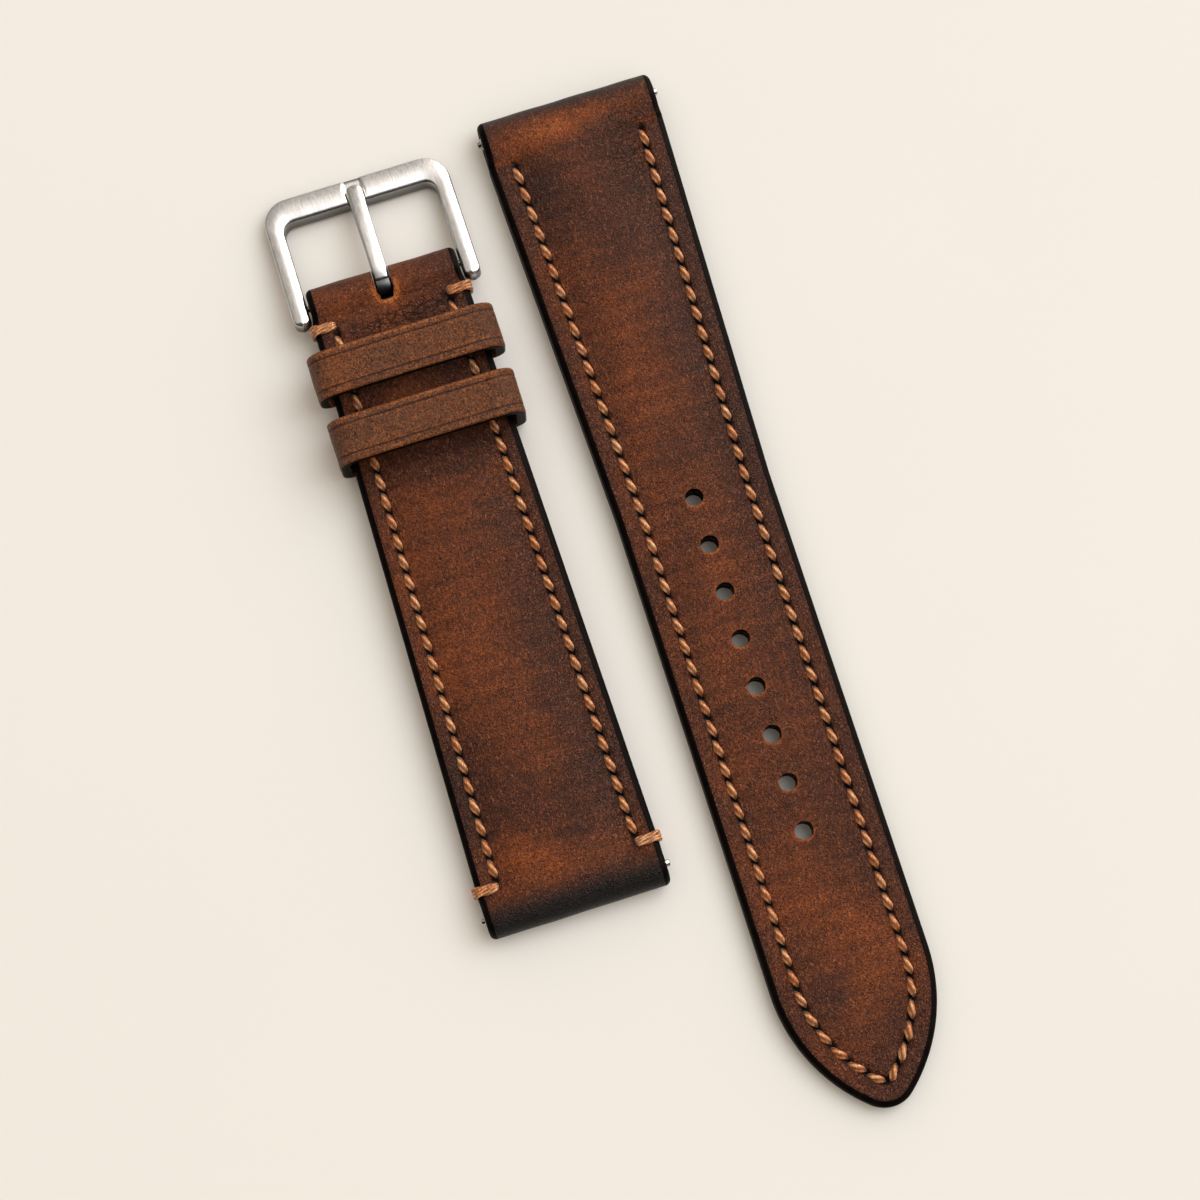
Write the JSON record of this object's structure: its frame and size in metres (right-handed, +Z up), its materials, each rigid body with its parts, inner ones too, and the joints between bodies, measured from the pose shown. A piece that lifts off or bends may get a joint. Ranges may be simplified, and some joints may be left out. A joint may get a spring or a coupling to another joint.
{
  "type": "leather watch strap",
  "caption": "Padded two-piece leather watch strap with contrast stitching, pin buckle, fixed and free keepers, adjustment holes and spring bars for the lugs",
  "frame": {"origin": "middle of the underside of the bounding box, on the table", "axes": "X across both straps, Y along them with the buckle end positive, Z up from the table"},
  "size_m": [0.0458, 0.1145, 0.0085],
  "materials": {
    "upper_leather": "burnished dark brown pull-up leather, semi-gloss",
    "lining_leather": "natural vegetable-tanned lining, matt",
    "padding": "pressed fibre filler",
    "thread": "waxed linen thread, tan",
    "keeper_leather": "burnished dark brown leather with creased edges",
    "buckle_steel": "satin brushed stainless steel",
    "spring_bar_steel": "turned stainless steel",
    "spring_wire": "drawn spring wire"
  },
  "bodies": {
    "short_strap": {"short_upper_leather": "upper_leather", "short_lining": "lining_leather", "short_padding": "padding", "short_top_stitches": "thread", "short_under_stitches": "thread", "short_bar_tacks": "thread", "fixed_keeper": "keeper_leather"},
    "long_strap": {"long_upper_leather": "upper_leather", "long_lining": "lining_leather", "long_padding": "padding", "long_top_stitches": "thread", "long_under_stitches": "thread"},
    "buckle_frame": {"buckle_frame": "buckle_steel"},
    "buckle_tang": {"buckle_tang": "buckle_steel"},
    "free_keeper": {"free_keeper": "keeper_leather"},
    "buckle_bar": {"buckle_bar_tube": "spring_bar_steel", "buckle_bar_spring": "spring_wire"},
    "buckle_bar_plunger_right": {"buckle_bar_plunger_right": "spring_bar_steel"},
    "buckle_bar_plunger_left": {"buckle_bar_plunger_left": "spring_bar_steel"},
    "short_lug_bar": {"short_lug_bar_tube": "spring_bar_steel", "short_lug_bar_spring": "spring_wire"},
    "short_lug_bar_plunger_right": {"short_lug_bar_plunger_right": "spring_bar_steel"},
    "short_lug_bar_plunger_left": {"short_lug_bar_plunger_left": "spring_bar_steel"},
    "long_lug_bar": {"long_lug_bar_tube": "spring_bar_steel", "long_lug_bar_spring": "spring_wire"},
    "long_lug_bar_plunger_right": {"long_lug_bar_plunger_right": "spring_bar_steel"},
    "long_lug_bar_plunger_left": {"long_lug_bar_plunger_left": "spring_bar_steel"}
  },
  "joints": [
    {"name": "long_strap_lift", "type": "slide", "parent": "short_strap", "child": "long_strap", "axis": [0, 0, 1], "range_m": [0, 0.03]},
    {"name": "buckle_frame_swing", "type": "hinge", "parent": "short_strap", "child": "buckle_frame", "pos_m": [-0.01232, 0.04262, 0.00302], "axis": [1, 0, 0], "range_deg": [-70, 45]},
    {"name": "tang_swing", "type": "hinge", "parent": "buckle_frame", "child": "buckle_tang", "pos_m": [-0.01232, 0.04262, 0.00302], "axis": [1, 0, 0], "range_deg": [0, 50]},
    {"name": "free_keeper_slide", "type": "slide", "parent": "short_strap", "child": "free_keeper", "axis": [0, -0.9996, -0.0279], "range_m": [-0.0022, 0.009]},
    {"name": "buckle_bar_turn", "type": "hinge", "parent": "short_strap", "child": "buckle_bar", "pos_m": [-0.01232, 0.04262, 0.00302], "axis": [1, 0, 0], "continuous": true},
    {"name": "buckle_bar_plunger_right_push", "type": "slide", "parent": "buckle_bar", "child": "buckle_bar_plunger_right", "axis": [-1, 0, 0], "range_m": [0, 0.0013], "stiffness_N_per_m": 1500, "springref_m": -0.0015, "deforming": ["buckle_bar_spring"]},
    {"name": "buckle_bar_plunger_left_push", "type": "slide", "parent": "buckle_bar", "child": "buckle_bar_plunger_left", "axis": [1, 0, 0], "range_m": [0, 0.0013], "stiffness_N_per_m": 1500, "springref_m": -0.0015, "deforming": ["buckle_bar_spring"]},
    {"name": "short_lug_bar_turn", "type": "hinge", "parent": "short_strap", "child": "short_lug_bar", "pos_m": [-0.01232, -0.02618, 0.0022], "axis": [1, 0, 0], "continuous": true},
    {"name": "short_lug_bar_plunger_right_push", "type": "slide", "parent": "short_lug_bar", "child": "short_lug_bar_plunger_right", "axis": [-1, 0, 0], "range_m": [0, 0.0012], "stiffness_N_per_m": 1500, "springref_m": -0.0015, "deforming": ["short_lug_bar_spring"]},
    {"name": "short_lug_bar_plunger_left_push", "type": "slide", "parent": "short_lug_bar", "child": "short_lug_bar_plunger_left", "axis": [1, 0, 0], "range_m": [0, 0.0012], "stiffness_N_per_m": 1500, "springref_m": -0.0015, "deforming": ["short_lug_bar_spring"]},
    {"name": "long_lug_bar_turn", "type": "hinge", "parent": "long_strap", "child": "long_lug_bar", "pos_m": [0.01247, 0.05505, 0.0022], "axis": [1, 0, 0], "continuous": true},
    {"name": "long_lug_bar_plunger_right_push", "type": "slide", "parent": "long_lug_bar", "child": "long_lug_bar_plunger_right", "axis": [-1, 0, 0], "range_m": [0, 0.0012], "stiffness_N_per_m": 1500, "springref_m": -0.0015, "deforming": ["long_lug_bar_spring"]},
    {"name": "long_lug_bar_plunger_left_push", "type": "slide", "parent": "long_lug_bar", "child": "long_lug_bar_plunger_left", "axis": [1, 0, 0], "range_m": [0, 0.0012], "stiffness_N_per_m": 1500, "springref_m": -0.0015, "deforming": ["long_lug_bar_spring"]}
  ]
}
